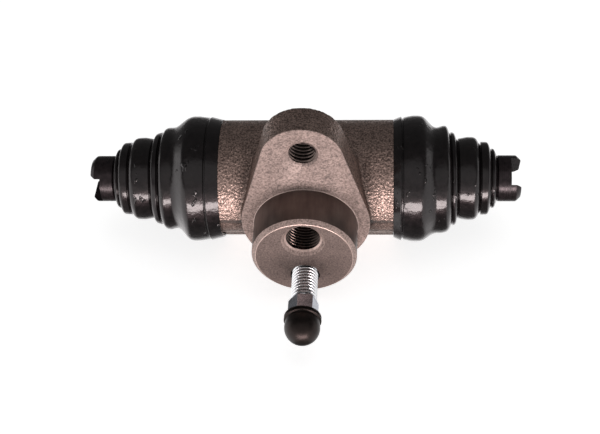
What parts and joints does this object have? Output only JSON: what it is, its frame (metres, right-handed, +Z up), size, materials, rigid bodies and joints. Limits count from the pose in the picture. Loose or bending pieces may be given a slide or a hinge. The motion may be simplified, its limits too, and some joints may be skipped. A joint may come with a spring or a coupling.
{
  "type": "brake wheel cylinder",
  "caption": "Double-ended drum brake wheel cylinder with slotted pistons, bellows boots, a round pilot boss, a threaded ear and a capped bleed screw.",
  "frame": {"origin": "centre of the pilot boss's end face", "axes": "+X along the bore, from the left piston to the right one, -Y out of the pilot boss through the backing plate, +Z up towards the mounting ear"},
  "size_m": [0.1193, 0.0701, 0.0532],
  "materials": {
    "cast_housing": "sand cast skin on the barrel, milled pad and pilot, brownish grey",
    "boot_rubber": "glossy black rubber",
    "spring_steel": "drawn wire and pressed steel, oiled",
    "seal_rubber": "matt black rubber",
    "anodised_piston": "black anodised, satin, with a purple tint",
    "plated_screw": "bright zinc plate",
    "cap_rubber": "satin black rubber"
  },
  "bodies": {
    "housing": {"housing": "cast_housing", "left_boot": "boot_rubber", "right_boot": "boot_rubber", "return_spring": "spring_steel"},
    "left_seal": {"left_cup": "seal_rubber", "left_expander": "spring_steel"},
    "right_seal": {"right_cup": "seal_rubber", "right_expander": "spring_steel"},
    "left_piston": {"left_piston": "anodised_piston"},
    "right_piston": {"right_piston": "anodised_piston"},
    "bleed_screw": {"bleed_screw": "plated_screw"},
    "dust_cap": {"dust_cap": "cap_rubber"}
  },
  "joints": [
    {"name": "left_piston_slide", "type": "slide", "parent": "housing", "child": "left_seal", "axis": [-1, 0, 0], "range_m": [-0.0081, 0.0059], "deforming": ["left_boot", "return_spring"]},
    {"name": "right_piston_slide", "type": "slide", "parent": "housing", "child": "right_seal", "axis": [1, 0, 0], "range_m": [-0.006, 0.008], "deforming": ["right_boot", "return_spring"]},
    {"name": "left_piston_turn", "type": "hinge", "parent": "left_seal", "child": "left_piston", "pos_m": [0, 0.0297, 0], "axis": [-1, 0, 0], "continuous": true},
    {"name": "right_piston_turn", "type": "hinge", "parent": "right_seal", "child": "right_piston", "pos_m": [0, 0.0297, 0], "axis": [1, 0, 0], "continuous": true},
    {"name": "bleed_screw_turn", "type": "hinge", "parent": "housing", "child": "bleed_screw", "pos_m": [0, 0, -0.0068], "axis": [0, -1, 0], "range_deg": [0, 360]},
    {"name": "dust_cap_pull", "type": "slide", "parent": "bleed_screw", "child": "dust_cap", "axis": [0, -1, 0], "range_m": [0, 0.012]}
  ]
}
